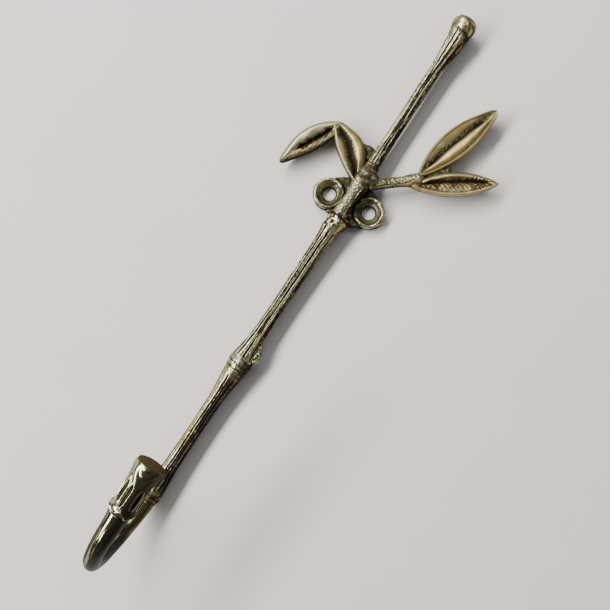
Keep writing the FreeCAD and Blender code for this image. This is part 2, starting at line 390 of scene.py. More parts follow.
def antique_brass(name, polish, dirt, speck=0.5, blotch=0.5, grain=0.35, darkest=SOOT_AND_SHADE):
    """Brass with dark patina in its recesses, which also paints the shade that patina_and_shade carries.

    polish is the roughness of worn metal, dirt how far the patina and the painted shade spread out of the
    recesses, speck and blotch how much it breaks up into grit and patches, and grain how strongly the
    surface is pitted.
    darkest is the colour at the bottom of a recess and in the deepest painted shade.
    """
    g = Graph(name)
    grit = g.noise(0.55, 5.0, 0.65)
    level = g.math("ADD", g.attribute("patina_and_shade"), g.around_zero(g.noise(3.0), blotch))
    level = g.math("ADD", level, g.around_zero(grit, speck))
    # the same levels darken both the patina in recesses and the painted shade
    tarnish_and_shade = g.ranged(level, 0.40 - dirt, 0.72 - dirt)
    soot_and_shade = g.ranged(level, 0.58 - dirt, 0.92 - dirt)
    gold_and_reflection_share = g.ranged(g.math("ADD", g.attribute("gold_and_reflection"), g.around_zero(g.noise(1.6), 1.0)), 0.2, 0.9)
    metal = g.mixed(gold_and_reflection_share, BRIGHT, GOLD)
    patina_and_shade_colour = g.mixed(gold_and_reflection_share, OLIVE, BROWN)
    g.join(g.mixed(soot_and_shade, g.mixed(tarnish_and_shade, metal, patina_and_shade_colour), darkest), g.shader.inputs["Base Color"])
    g.join(g.ranged(soot_and_shade, 0.0, 1.0, 1.0, 0.45), g.shader.inputs["Metallic"])
    worn = g.math("ADD", g.ranged(tarnish_and_shade, 0.0, 1.0, polish, polish + 0.16), g.math("MULTIPLY", soot_and_shade, 0.14))
    g.join(g.math("ADD", worn, g.around_zero(grit, 0.12)), g.shader.inputs["Roughness"])
    g.shader.inputs["Specular Tint"].default_value = (*EDGE_TINT, 1)
    g.bump(g.noise(0.35, 4.0, 0.7), 0.05, grain)
    return g.material


CANE = antique_brass("cane_brass", polish=0.34, dirt=0.08, speck=0.55, blotch=0.25, grain=0.55)
ROUGH = antique_brass("rough_brass", polish=0.46, dirt=0.12, speck=0.9, grain=0.8,
                      darkest=(0.030, 0.026, 0.014))
LUG = antique_brass("lug_brass", polish=0.34, dirt=0.08, speck=0.4, blotch=0.4, grain=0.4)
LEAF = antique_brass("leaf_brass", polish=0.46, dirt=0.02, speck=0.42, blotch=0.35, grain=0.2,
                     darkest=(0.042, 0.028, 0.014))
ROD = antique_brass("rod_brass", polish=0.14, dirt=0.05, speck=0.12, blotch=0.2, grain=0.05)
ARM = antique_brass("arm_brass", polish=0.22, dirt=0.05, speck=0.12, blotch=0.2, grain=0.06)


# ---- canes ----
# Each groove is its angle in degrees, its top and bottom heights, its depth and its width.
TOP_GROOVES = [(-65, 66, 7, 0.36, 0.34), (-41, 62, 9, 0.18, 0.10), (-18, 65.5, 9, 0.44, 0.22),
               (-2, 52, 9, 0.16, 0.10), (9, 64, 9, 0.44, 0.26), (26, 60, 9, 0.22, 0.12),
               (46, 61, 9, 0.40, 0.26), (70, 58, 9, 0.3, 0.16), (110, 60, 9, 0.3, 0.3),
               (170, 58, 9, 0.3, 0.3), (-110, 58, 9, 0.3, 0.3)]
MIDDLE_GROOVES = [(-52, -9, -57, 0.16, 0.10), (-31, -9, -60, 0.44, 0.26), (-12, -12, -60, 0.30, 0.14),
                  (6, -10, -60, 0.44, 0.28), (24, -14, -60, 0.24, 0.12), (44, -10, -60, 0.40, 0.26),
                  (66, -13, -56, 0.28, 0.16), (115, -10, -57, 0.3, 0.3), (170, -12, -55, 0.3, 0.3),
                  (-110, -10, -52, 0.3, 0.3), (-67, -8, -61, 0.36, 0.30)]
LOWER_GROOVES = [(-40, -65, -109.5, 0.20, 0.12), (-12, -65, -109.5, 0.42, 0.24),
                 (10, -66, -109.5, 0.42, 0.30), (34, -66, -109.5, 0.40, 0.32), (64, -66, -109.5, 0.3, 0.3),
                 (120, -66, -104, 0.3, 0.3), (170, -68, -104, 0.3, 0.3), (-105, -68, -104, 0.3, 0.3),
                 (-67, -64, -109.5, 0.36, 0.30)]


def gold_and_reflection_of(angle, z, radius, seed, floor=0.0):
    """Gold colour kept in patches, and a painted warm reflection that makes the right flank gold."""
    patches = smooth(streaks(angle, z, radius, seed, 4.0, 4.0), 0.2, 1.4)
    # painted warm reflection: gold on the right flank
    warm_reflection = smooth(np.sin(angle), 0.1, 0.9)
    return np.clip(floor + 0.5 * patches + 0.6 * warm_reflection, 0, 1)


def upper_relief(angle, z, radius):
    """Grooves that fade into a dented flare, which bulges on the right and is painted darker and browner
    there as shade, and the cut top.
    """
    right = np.sin(angle)
    relief = cane_relief(angle, z, radius, TOP_GROOVES, seed=11, line=0.11, grain=0.035)
    calm = smooth(z, 59.0, 64.0)
    dents = 0.08 * streaks(angle, z, radius, 17, 3.6, 1.2) + 0.02 * streaks(angle, z, radius, 18, 1.0, 1.0)
    relief = relief * (1 - 0.75 * calm) + dents * calm
    flare = smooth(z, 49.0, 58.5) * smooth(z, 65.5, 61.5)
    bulge = 0.65 * flare * smooth(right, -0.4, 0.6)
    cleaner = smooth(z, 62.0, 65.0) * smooth(right, 0.2, 0.5)
    patina_and_shade = 0.86 * cane_patina_and_shade(relief, angle) * (1 - 0.6 * cleaner)
    dark_patch = bell(z, 63.6, 2.2) * bell(wrapped(angle), -0.05, 0.42)
    speckled = np.clip(0.35 + 0.3 * streaks(angle, z, radius, 20, 0.8, 1.6), 0, 1)
    patina_and_shade = patina_and_shade + dark_patch * speckled
    glint = bell(wrapped(angle), 0.95, 0.16) * bell(z, 64.4, 1.2)
    # painted shade: darker and browner on the right, except for one glint spot
    right_shade = smooth(right, 0.25, 0.5) * (1 - glint)
    patina_and_shade = patina_and_shade + 0.34 * calm * right_shade + 0.22 * flare * smooth(right, 0.5, 0.8)
    lid = smooth(z, 66.0, 67.4)
    patina_and_shade = patina_and_shade * (1 - lid) + 0.30 * lid
    gold_and_reflection = gold_and_reflection_of(angle, z, radius, 19, floor=0.12) * (1 - 0.5 * calm) + 0.3 * calm
    return relief + bulge, patina_and_shade, gold_and_reflection


def middle_relief(angle, z, radius):
    """Grooves under a lumpy shoulder, which has a knuckle on the right and a slanted crease at its top."""
    knuckle_z, knuckle_angle, crease_z = -7.4, math.radians(50), -5.7
    relief = cane_relief(angle, z, radius, MIDDLE_GROOVES, seed=31)
    shoulder = smooth(z, -12.0, -8.5)
    lumps = 0.14 * streaks(angle, z, radius, 41, 2.2, 0.8) + 0.06 * streaks(angle, z, radius, 42, 0.9, 0.8)
    knuckle = 0.35 * bell(z, knuckle_z, 1.6) * smooth(np.cos(angle - knuckle_angle), 0.3, 0.9)
    relief = relief * (1 - 0.6 * shoulder) + (lumps + knuckle) * shoulder
    slanted = z + 0.22 * radius * np.sin(angle)
    relief = relief - 0.45 * bell(slanted, crease_z, 0.45)
    patina_and_shade = cane_patina_and_shade(relief, angle) + 0.20 * shoulder
    return relief, patina_and_shade, gold_and_reflection_of(angle, z, radius, 43) + 0.35 * shoulder


def collar_relief(angle, z, radius):
    """Two slanted rings, higher on the left, with a dark groove between them and a shallower one below."""
    upper_ring, between, lower_ring, below = -60.7, -61.6, -62.5, -63.5
    slanted = z + 0.12 * radius * np.sin(angle)
    rings = 0.14 * bell(slanted, upper_ring, 0.32) + 0.14 * bell(slanted, lower_ring, 0.32)
    rings = rings - 0.10 * bell(slanted, between, 0.30) - 0.08 * bell(slanted, below, 0.30)
    rough = 0.05 * streaks(angle, z, radius, 51, 1.8, 0.8) + 0.03 * streaks(angle, z, radius, 52, 0.7, 0.7)
    relief = rings + rough
    # painted shade: darker on the right flank, away from the window
    patina_and_shade = cane_patina_and_shade(relief, angle) + 0.12 + 0.45 * smooth(np.sin(angle), 0.0, 0.5)
    return relief, patina_and_shade, gold_and_reflection_of(angle, z, radius, 53)


def lower_relief(angle, z, radius):
    """Grooves that run out in the last node, which has a notch across its front right and a low ring."""
    notch_z, notch_angle, ring_z = -110.9, math.radians(40), -112.0
    relief = cane_relief(angle, z, radius, LOWER_GROOVES, seed=61, line=0.1)
    smoothed = smooth(z, -108.6, -110.0)
    relief = relief * (1 - 0.75 * smoothed)
    notch = 0.5 * bell(z, notch_z, 0.55) * smooth(np.cos(angle - notch_angle), -0.7, 0.3)
    relief = relief - notch + 0.1 * bell(z, ring_z, 0.5)
    # painted shade: darker on the right flank, away from the window
    patina_and_shade = cane_patina_and_shade(relief, angle) + 0.14 + 0.18 * smooth(np.sin(angle), -0.1, 0.4)
    return relief, patina_and_shade, gold_and_reflection_of(angle, z, radius, 71, floor=0.3)


def boss_cane_relief(angle, z, radius):
    """Stippled metal with a broad worn ridge, and on its right a thin ridge between two dark valleys."""
    top, bottom = 8.0, -5.6
    ridges = 0.32 * bell(wrapped(angle + math.radians(20)), 0, 0.60)
    ridges = ridges + 0.12 * bell(wrapped(angle - math.radians(44)), 0, 0.16)
    valleys = groove(angle, z, radius, 29, top, bottom, 0.24, 0.34, seed=81)
    valleys = valleys + groove(angle, z, radius, 62, top, bottom, 0.4, 0.5, seed=86)
    stipple = 0.06 * streaks(angle, z, radius, 83, 0.75, 1.0)
    rough = 0.05 * streaks(angle, z, radius, 84, 2.6, 2.0)
    foot_crease = 0.4 * bell(z, -5.4, 0.5)
    relief = ridges - valleys + stipple + rough - foot_crease
    return relief, cane_patina_and_shade(relief, angle, 0.10, 0.35) - 0.18, gold_and_reflection_of(angle, z, radius, 85)


def build_canes():
    top = Stretch(["upper_stem", "stem_top_knob"])
    dome = [(0.82, 0.10), (0.6, 0.14), (0.35, 0.16), (0.12, 0.16)]
    cane_piece("upper_cane", top, top.low - 0.6, top.high - 0.1, upper_relief, CANE,
               ["upper_stem", "stem_top_knob"], tuck_low=0.6, crown=dome)
    boss = Stretch(["lug_stem"])
    cane_piece("boss_cane", boss, boss.low - 0.4, boss.high + 0.6, boss_cane_relief, ROUGH,
               ["lug_stem"], step=0.16, tuck_low=0.3, tuck_high=0.5)
    stem = Stretch(["upper_node", "middle_stem"])
    cane_piece("middle_cane", stem, stem.low - 0.4, stem.high, middle_relief, CANE,
               ["upper_node", "middle_stem"], tuck_low=0.4)
    ring = Stretch(["bud_node"])
    cane_piece("collar", ring, ring.low, ring.high, collar_relief, CANE, ["bud_node"],
               step=0.12)
    leg = Stretch(["lower_stem", "lower_node"])
    cane_piece("lower_cane", leg, leg.low, leg.high + 0.4, lower_relief, CANE,
               ["lower_stem", "lower_node"], tuck_high=0.4)


# ---- the hook ----
def rod_rings():
    """Centres, evened radii and outward ways along the rod, from the foot of the stem to the arm's ring."""
    tree = BVHTree.FromPolygons(*mesh_of("lower_node", "hook_bend", "hook_node"))
    low, high = span("hook_bend")
    leg, arm = middle("lower_node"), middle("hook_arm")
    mean = (leg + arm) / 2
    reach = (leg[1] - arm[1]) / 2
    under = tree.ray_cast(Vector((mean[0], mean[1], low[2] - 1)), Vector(UP))[0]
    over = tree.ray_cast(under + Vector(UP) * 0.1, Vector(UP))[0]
    turn_z = (under.z + over.z) / 2 + reach
    step, start_below_top, past_end = 0.4, 6.2, 0.8
    bend_rings, spread = 150, 4
    guesses = [((leg[0], leg[1], z), -FRONT) for z in np.arange(high[2] - start_below_top, turn_z, -step)]
    for a in np.linspace(0, math.pi, bend_rings):
        out = math.cos(a) * -FRONT - math.sin(a) * UP
        x = leg[0] + (arm[0] - leg[0]) * a / math.pi
        guesses.append((np.array([x, mean[1], turn_z]) + reach * out, out))
    end = span("hook_node")[0][2] + past_end
    guesses += [((arm[0], arm[1], z), FRONT) for z in np.arange(turn_z + step, end, step)]
    rings = [(*ring_at(tree, place, out, RIGHT), out) for place, out in guesses]
    centres, radii, outs = (np.array(part) for part in zip(*rings))
    window = 2 * spread + 1
    even = np.convolve(np.pad(radii, spread, mode="edge"), np.ones(window) / window, mode="valid")
    return centres, even, outs


# Each shallow band on the rod is its angle in degrees, from the outside of the bend, and its depth.
ROD_BANDS = [(-62, 0.20), (-40, 0.18), (-8, 0.20), (14, 0.16), (60, 0.08)]
ROD_BAND_WIDTH = 0.2


def hook_rod():
    """The smooth rod of the hook, with a few shallow lengthwise bands on the outside of its bend, a painted
    dark reflection on its right flank and painted shade on its far left edge.
    """
    centres, radii, outs = rod_rings()
    around = 112
    angle = np.linspace(0, 2 * math.pi, around, endpoint=False)
    base = np.repeat(radii[:, None], around, 1)
    run = np.concatenate([[0], np.cumsum(np.linalg.norm(np.diff(centres, axis=0), axis=1))])
    angle, run = np.meshgrid(angle, run)
    length = run.max()
    relief = 0.015 * streaks(angle, run, base, 91, 2.6, 8.0)
    relief = relief + 0.02 * streaks(angle, run, base, 92, 5.0, 2.0)
    banded = smooth(run, 0.18 * length, 0.32 * length) * smooth(run, 0.98 * length, 0.8 * length)
    for i, (degrees, depth) in enumerate(ROD_BANDS):
        band = groove(angle, run, base, degrees, length, 0, depth, ROD_BAND_WIDTH, seed=93 + 4 * i)
        relief = relief - banded * band
    loops = ring_loops(centres, outs, np.repeat(RIGHT[None], len(outs), 0), base + relief)
    verts, faces = closed_sweep(loops)
    inner = smooth(np.cos(angle), 0.1, -0.6)
    # painted dark, warm reflection on the right flank, and painted shade on the far left edge
    right_reflection = smooth(np.sin(angle), -0.15, 0.2) * (0.4 + 0.6 * smooth(run, 0.25 * length, 0.4 * length))
    left_edge_shade = smooth(np.sin(angle), -0.5, -0.85)
    hollows = np.clip((0.0 - relief) / 0.12, 0, 1)
    patina_and_shade = 0.5 * hollows + 0.3 * inner + 0.85 * right_reflection + 0.8 * left_edge_shade
    gold_and_reflection = 0.2 + 0.3 * smooth(run, 0.5 * length, 0.2 * length) + 0.3 * right_reflection
    add_piece("hook_rod", verts, faces, with_ends(patina_and_shade), with_ends(gold_and_reflection), ROD,
              ["hook_bend"])


# Each slot is its angle in degrees, its top and bottom heights, and its depth.
ARM_SLOTS = [(-64, -98.0, -103.2, 0.5), (-37, -96.8, -103.6, 0.55), (-9, -97.2, -103.9, 0.55),
             (42, -97.6, -103.6, 0.35), (80, -98.4, -103.2, 0.5), (110, -97.8, -103.6, 0.6),
             (140, -98.2, -103.4, 0.6), (168, -97.6, -103.6, 0.6), (-164, -98.2, -103.2, 0.6),
             (-134, -97.8, -103.6, 0.6), (-100, -98.6, -103.0, 0.6)]
SLOT_HALF_WIDTH = 0.46
TEETH = 5
FIRST_TOOTH = math.radians(-28)
TOOTH_LENGTH = 1.5
TOOTH_ROOTS_Z = -105.4
RING_GROOVE_Z = -103.9      # the groove between the slots and the toothed ring
CUT_FACE_Z = -91.5


def arm_relief(angle, z, radius):
    """Engraved lens-shaped slots with raised lips, between a toothed ring below and a lumpy flare above."""
    relief = np.zeros_like(z)
    slots = np.zeros_like(z)
    crests = np.zeros_like(z)
    for degrees, top, bottom, depth in ARM_SLOTS:
        across = np.abs(wrapped(angle - math.radians(degrees))) * radius
        along = (z - (top + bottom) / 2) / ((top - bottom) / 2)
        half = SLOT_HALF_WIDTH * np.clip(1 - along ** 4, 0, 1)
        inside = smooth(across - half, 0.22, -0.22) * (np.abs(along) < 1)
        lip = bell(across - half, 0.34, 0.22) * smooth(np.abs(along), 1.12, 0.96)
        relief = relief - depth * inside + 0.2 * depth * lip
        slots = np.maximum(slots, inside)
        crests = np.maximum(crests, lip)
    flare = smooth(z, -97.4, -96.0)
    facets = 0.24 * np.abs(streaks(angle, z, radius, 107, 5.0, 1.3)) - 0.06
    relief = relief + flare * facets * smooth(z, -91.2, -92.4)
    turn = (angle - FIRST_TOOTH) * TEETH / (2 * math.pi)
    tooth = 1 - 2 * np.abs(turn - np.round(turn))
    edge = TOOTH_ROOTS_Z - TOOTH_LENGTH * tooth ** 1.4
    ring = smooth(z, -103.6, -104.6)
    relief = relief - 0.28 * bell(z, RING_GROOVE_Z, 0.3) + ring * 0.30 * bell(z - edge, 0.35, 0.38)
    relief = relief - 0.10 * smooth(z - edge, 0.0, -0.5)
    relief = relief + 0.015 * streaks(angle, z, radius, 104, 2.4, 1.2)
    under = bell(z, RING_GROOVE_Z, 0.35)
    panel = smooth(z, -96.5, -98.0)
    crests = np.maximum(crests, ring * bell(z - edge, 0.35, 0.3))
    shadowed = smooth(np.sin(angle), -0.05, 0.3) * (1 - 0.75 * crests)
    patina_and_shade = 0.08 + 0.9 * slots + 0.35 * under + (0.62 + 0.15 * panel) * shadowed
    # painted warm reflection: the cut top is painted brown
    cut_face_reflection = smooth(z, CUT_FACE_Z - 0.25, CUT_FACE_Z)
    patina_and_shade = patina_and_shade * (1 - cut_face_reflection) + 0.64 * cut_face_reflection
    # painted warm reflection: more gold on the right flank and on the cut top
    return relief, patina_and_shade, 0.15 + 0.3 * smooth(np.sin(angle), 0, 1) + 0.7 * cut_face_reflection


def build_hook():
    hook_rod()
    arm = Stretch(["hook_node", "hook_arm", "hook_tip"], step=0.25)
    cut = [(0.97, 0.06), (0.93, 0.08), (0.8, 0.08), (0.55, 0.08), (0.3, 0.08), (0.1, 0.08)]
    cane_piece("arm_end", arm, arm.low, arm.high - 0.08, arm_relief, ARM,
               ["hook_node", "hook_arm", "hook_tip"], around=300, step=0.1, tuck_low=0.25, crown=cut)


# ---- screw lugs ----
# The lug's section from the hole's wall out to the rim's foot: radius and height off the wall.
LUG_PROFILE = [(2.1, 0.0), (2.1, 1.2), (2.3, 1.5), (2.9, 1.9), (3.5, 2.45), (3.9, 2.95), (4.25, 3.2),
               (4.65, 3.15), (5.0, 2.7), (5.2, 1.8), (5.2, 0.0)]


def eased(points, per_span):
    """A smooth open line through the points."""
    points = np.array(points, float)
    padded = np.vstack([2 * points[0] - points[1], points, 2 * points[-1] - points[-2]])
    line = []
    for i in range(len(points) - 1):
        a, b, c, d = padded[i:i + 4]
        for t in np.arange(per_span) / per_span:
            line.append(0.5 * (2 * b + (c - a) * t + (2 * a - 5 * b + 4 * c - d) * t ** 2
                               + (3 * b - a - 3 * c + d) * t ** 3))
    return np.array(line + [points[-1]])


def screw_lug(name, mount, node, seed):
    """A dished ring round a screw hole, with a hammered rim that is dark where it meets the stem."""
    hole = next(m for m in frame["record"]["mounts"] if m["name"] == mount)
    centre = np.array(hole["pos_m"]) / MM
    bore = hole["dims"]["r_mm"]
    profile = eased(LUG_PROFILE, 4)
    profile[:, 0] = np.maximum(profile[:, 0], bore)
    turns = 140
    angle = np.linspace(0, 2 * math.pi, turns, endpoint=False)
    r, h = profile[:, 0][None, :], profile[:, 1][None, :]
    x = centre[0] + r * np.cos(angle)[:, None]
    z = centre[2] + r * np.sin(angle)[:, None]
    y = -h + np.zeros_like(x)
    points = np.stack([x, y, z], -1)
    free = smooth(h, 1.2, 2.0) * smooth(r, bore, bore + 0.6)
    lumps = 0.06 * Waves(seed, 2.6)(points) + 0.03 * Waves(seed + 1, 0.9)(points)
    points[..., 1] -= free * lumps
    grow = 0.10 * Waves(seed + 2, 3.0)(points) * smooth(r, 4.4, 5.2)
    points[..., 0] += grow * np.cos(angle)[:, None]
    points[..., 2] += grow * np.sin(angle)[:, None]
    faces = loop_faces(turns, len(profile), joined=True)
    rim = smooth(r, 3.3, 4.2) * smooth(h, 2.2, 3.0)
    inward = smooth(-(x - centre[0]) * np.sign(centre[0]) / r, 0.1, 0.8) * smooth(r, 3.6, 4.2)
    hole_wall = smooth(h, 1.9, 1.3)
    foot = smooth(h, 2.4, 1.0) * smooth(r, 4.6, 5.1)
    patina_and_shade = 0.46 - 0.20 * rim + 0.45 * hole_wall + 0.40 * inward + 0.3 * foot - 1.2 * free * lumps
    # painted warm reflection: more gold on the right side of each lug
    gold_and_reflection = 0.10 + 0.35 * smooth((x - centre[0]) / r, 0.2, 0.9)
    add_piece(name, points.reshape(-1, 3), faces, patina_and_shade, gold_and_reflection, LUG, [node])


# ---- rough castings ----
def neighbours_mean(values, edges, count):
    """The mean of each point's neighbours along the edges."""
    total = np.zeros((count, values.shape[1]))
    np.add.at(total, edges[:, 0], values[edges[:, 1]])
    np.add.at(total, edges[:, 1], values[edges[:, 0]])
    degree = np.bincount(edges.ravel(), minlength=count)[:, None]
    return total / np.maximum(degree, 1)


def remeshed(nodes, voxel):
    """Points, normals, edges and faces of an even skin over these CAD nodes."""
    work = bpy.data.meshes.new("work")
    verts, faces = mesh_of(*nodes)
    work.from_pydata(verts, [], faces)
    helper = bpy.data.objects.new("work", work)
    bpy.context.scene.collection.objects.link(helper)
    remesh = helper.modifiers.new("skin", "REMESH")
    remesh.mode = "VOXEL"
    remesh.voxel_size = voxel
    graph = bpy.context.evaluated_depsgraph_get()
    skin = bpy.data.meshes.new_from_object(helper.evaluated_get(graph))
    bpy.data.objects.remove(helper)
    bpy.data.meshes.remove(work)
    points = np.array([v.co for v in skin.vertices])
    normals = np.array([v.normal for v in skin.vertices])
    edges = np.array([e.vertices for e in skin.edges])
    faces = [tuple(p.vertices) for p in skin.polygons]
    bpy.data.meshes.remove(skin)
    return points, normals, edges, faces


def rough_casting(name, nodes, finish, seed, voxel=0.22, lumps=0.1, size=1.8, dark=0.35, grow=0.0):
    """A skin over these CAD nodes with soft edges and the uneven, stippled face of a sand casting, with
    painted shade on faces turned down and away from the room.
    """
    points, normals, edges, faces = remeshed(nodes, voxel)
    softening_rounds = 3
    for _ in range(softening_rounds):
        points = 0.5 * points + 0.5 * neighbours_mean(points, edges, len(points))
    out = normals @ FRONT
    relief = lumps * Waves(seed, size)(points) + 0.3 * lumps * Waves(seed + 1, 0.8)(points)
    free = smooth(out, -0.9, -0.2)
    points = points + normals * (grow + relief * free)[:, None]
    points[:, 1] = np.minimum(points[:, 1], 0.0)
    # painted shade: darker on faces turned down and away from the room
    under = smooth(normals @ UP, -0.3, -0.8)
    patina_and_shade = dark + 0.3 * smooth(out, 0.6, -0.2) + 0.35 * under - 1.8 * relief
    gold_and_reflection = 0.10 + 0.25 * Waves(seed + 2, 3.0)(points)
    return add_piece(name, points, faces, patina_and_shade, gold_and_reflection, finish, nodes)


def build_boss():
    rough_casting("twig_boss_skin", ["twig_boss"], ROUGH, 121, lumps=0.05, size=2.4,
                  dark=0.58, grow=0.1)
    rough_casting("lug_plate", ["lug_web"], ROUGH, 131, lumps=0.06, size=2.4, dark=0.66)
    rough_casting("left_leaf_web", ["left_web"], ROUGH, 141, lumps=0.05, size=2.0, dark=0.60)
    rough_casting("right_leaf_web", ["right_web"], ROUGH, 151, lumps=0.10, size=1.6,
                  dark=0.64, grow=0.3)
    rough_casting("bud", ["bud_scar"], CANE, 161, voxel=0.16, lumps=0.12, size=1.2, dark=0.35,
                  grow=0.12)
    screw_lug("left_lug", "left_screw_hole", "left_screw_lug", 171)
    screw_lug("right_lug", "right_screw_hole", "right_screw_lug", 181)


# ---- leaves ----
# The outlines are those of the CAD leaves, with the left pair run into each other at the top of their arch.
# Where a pair is given, its first value is for the side on the left of the way from base to tip.
#   base and tip: (x, z) on the wall.      bow: how far the midrib is bent sideways.
#   fullness: under 1, the widest place is nearer the base.      blunt: how much the tip is rounded.
#   rims: how far in from the edge the crest lies.      bead: the rim's height over the face inside it.
#   dish: how deep the face falls to the midrib, as a curve of power fall.
#   roll: how far the face falls again towards its rim.
#   slit: the torn groove's place across the leaf from -1 to 1, its half widths and its depth, then its ends
#         along the leaf from 0 to 1.      wander: how far it strays sideways.
#   hatch: a band of short dark strokes: how far it lies from the slit, its width and its strength.
#   dull: how far the patina covers the face.
#   edge: how much painted shade darkens it over the reach towards its edge.
#   gold: how much gold colour the face keeps.      silver_sheen: how far from the slit the palest band lies,
#   a paler tone that is partly a painted highlight.
LEAVES = {
    "left_inner_leaf": dict(
        base=(-0.9, 5.4), tip=(-17.7, 18.9), width=8.8, bow=-1.9, fullness=1.15, rims=(0.8, 2.2), bead=0.0,
        dish=1.5, fall=(1.5, 1.5), roll=(0.0, 0.0), slit=(0.04, (1.10, 0.55), 0.8, 0.10, 0.90),
        hatch=(0.3, 1.4, 0.45), dull=(0.36, 0.46), gold=(0.50, 0.95), silver_sheen=-1.0, edge=(0.05, 0.30),
        reach=2.4, blunt=0.25, wander=0.04, seed=201),
    "left_outer_leaf": dict(
        base=(-15.4, 20.0), tip=(-25.7, -1.4), width=7.6, bow=-0.9, fullness=0.9, rims=(1.8, 1.9), bead=0.0,
        dish=0.8, fall=(2.4, 2.4), roll=(0.0, 0.0), slit=(0.12, (1.15, 0.55), 1.4, 0.14, 0.76),
        hatch=(0.9, 0.7, 0.35), dull=(0.22, 0.22), gold=(0.60, 0.0), silver_sheen=-1.8, edge=(0.75, 0.22),
        reach=1.3, blunt=0.14, wander=0.04, seed=211),
    "right_large_leaf": dict(
        base=(13.5, 18.6), tip=(22.5, 49.1), width=9.3, bow=0.35, fullness=0.98, rims=(0.6, 0.6), bead=0.26,
        dish=1.2, fall=(2.6, 4.4), roll=(0.0, 0.35), slit=(0.02, (0.45, 0.16), 0.12, 0.10, 0.90),
        hatch=(0.80, 0.9, 0.42), dull=(0.30, 0.36), gold=(0.75, 1.1), silver_sheen=-0.5, edge=(0.05, 0.34),
        reach=2.6, blunt=0.2, wander=0.012, seed=221),
    "right_small_leaf": dict(
        base=(13.2, 14.8), tip=(35.6, 30.5), width=7.9, bow=0.1, fullness=1.0, rims=(1.7, 0.6), bead=0.16,
        dish=1.0, fall=(1.8, 1.8), roll=(0.0, 0.0), slit=(0.20, (0.60, 0.50), 0.9, 0.14, 0.94),
        hatch=(-1.3, 1.4, 0.33), dull=(0.28, 0.42), gold=(0.90, 0.70), silver_sheen=2.6, edge=(0.12, 0.15),
        reach=2.8, blunt=0.0, wander=0.012, seed=231),
}
LEAF_ROUNDNESS = 0.72
WALL_SHARE = 0.35       # how much of a leaf's thickness is its upright side wall
ROLL_START = 2.6        # how far in from the edge the face begins to fall again


def blended(pair, share):
    """The pair's second value, which turns into its first as share goes from 0 to 1."""
    return pair[1] + (pair[0] - pair[1]) * share


